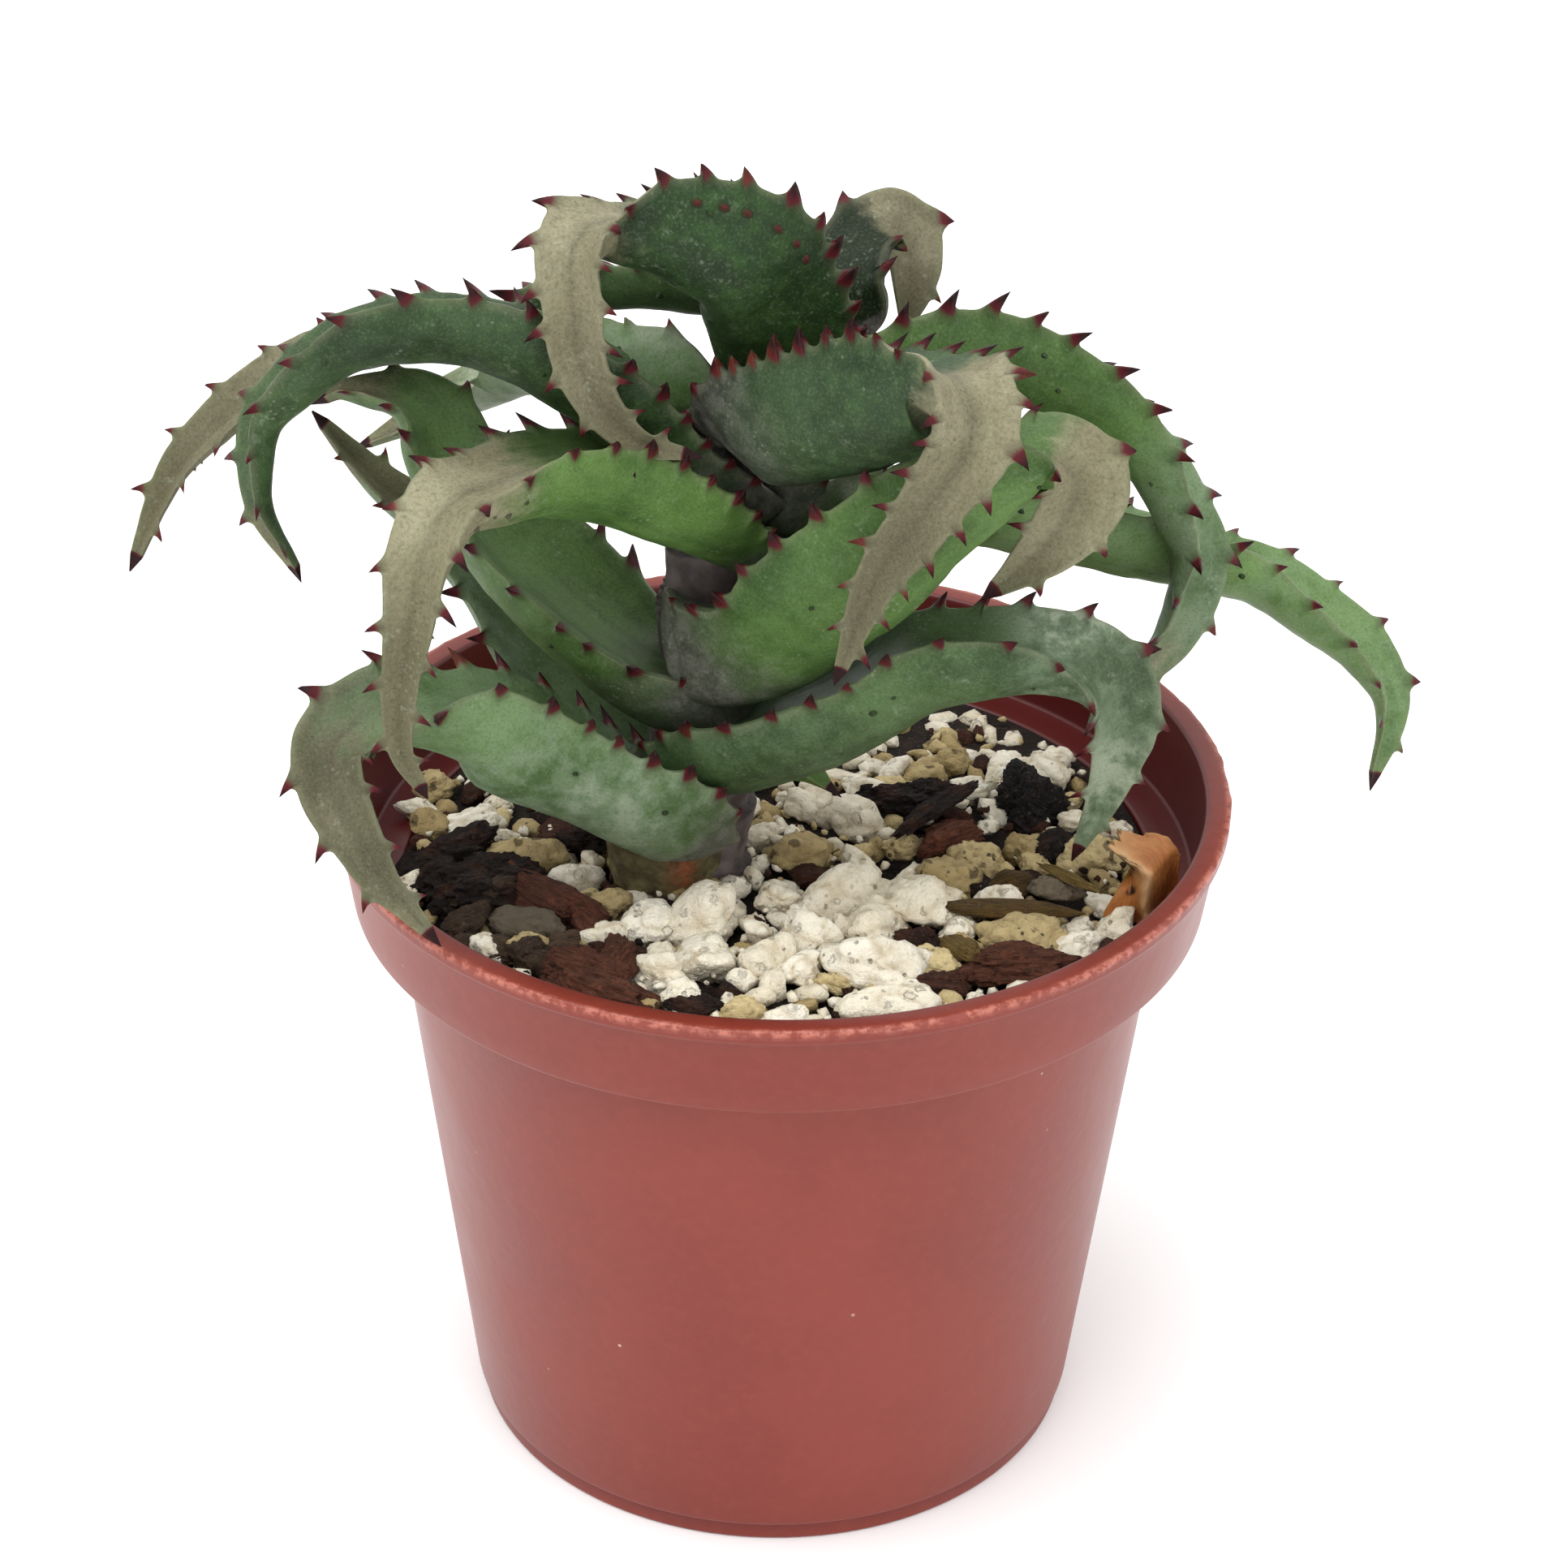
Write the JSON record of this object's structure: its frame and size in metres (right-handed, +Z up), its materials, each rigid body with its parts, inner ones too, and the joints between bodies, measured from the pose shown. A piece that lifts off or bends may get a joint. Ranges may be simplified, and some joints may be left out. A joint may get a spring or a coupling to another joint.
{
  "type": "potted aloe castilloniae",
  "caption": "Small potted succulent: long recurved toothed leaves on a short stem, rooted in gritty soil in a round tapered nursery pot with a collared rim.",
  "frame": {"origin": "centre of the pot's flat underside", "axes": "+Z up along the pot's axis, the viewer of the picture stands on the -Y side, +X to the viewer's right"},
  "size_m": [0.1234, 0.085, 0.1371],
  "materials": {
    "pot_plastic": "smooth moulded terracotta-red plastic with a half gloss",
    "leaf_skin": "waxy green leaf skin, khaki at the drooping ends, with dark red margin teeth",
    "stem_skin": "grey-purple stem under the clasping leaf bases",
    "soil_mix": "pumice grains in dark gritty compost",
    "bark": "rough red-brown bark",
    "charcoal": "matt black charcoal",
    "dry_leaf": "thin dry orange-brown leaf"
  },
  "bodies": {
    "root": {"pot": "pot_plastic", "soil": "soil_mix", "bark_chip_left": "bark", "bark_chip_front_left": "bark", "bark_chip_back": "bark", "charcoal_lump": "charcoal", "dry_leaf": "dry_leaf", "leaf_low_front_left": "leaf_skin", "leaf_low_right": "leaf_skin", "leaf_low_back_left": "leaf_skin", "leaf_mid_back_left": "leaf_skin", "leaf_mid_front_left": "leaf_skin", "leaf_upper_left": "leaf_skin", "leaf_upper_back_left": "leaf_skin", "leaf_far_back_left": "leaf_skin", "leaf_crown_left": "leaf_skin", "leaf_crown_right": "leaf_skin", "leaf_upper_right": "leaf_skin", "leaf_mid_back_right": "leaf_skin", "leaf_upper_front_right": "leaf_skin", "leaf_mid_right": "leaf_skin", "stem": "stem_skin"}
  },
  "joints": []
}
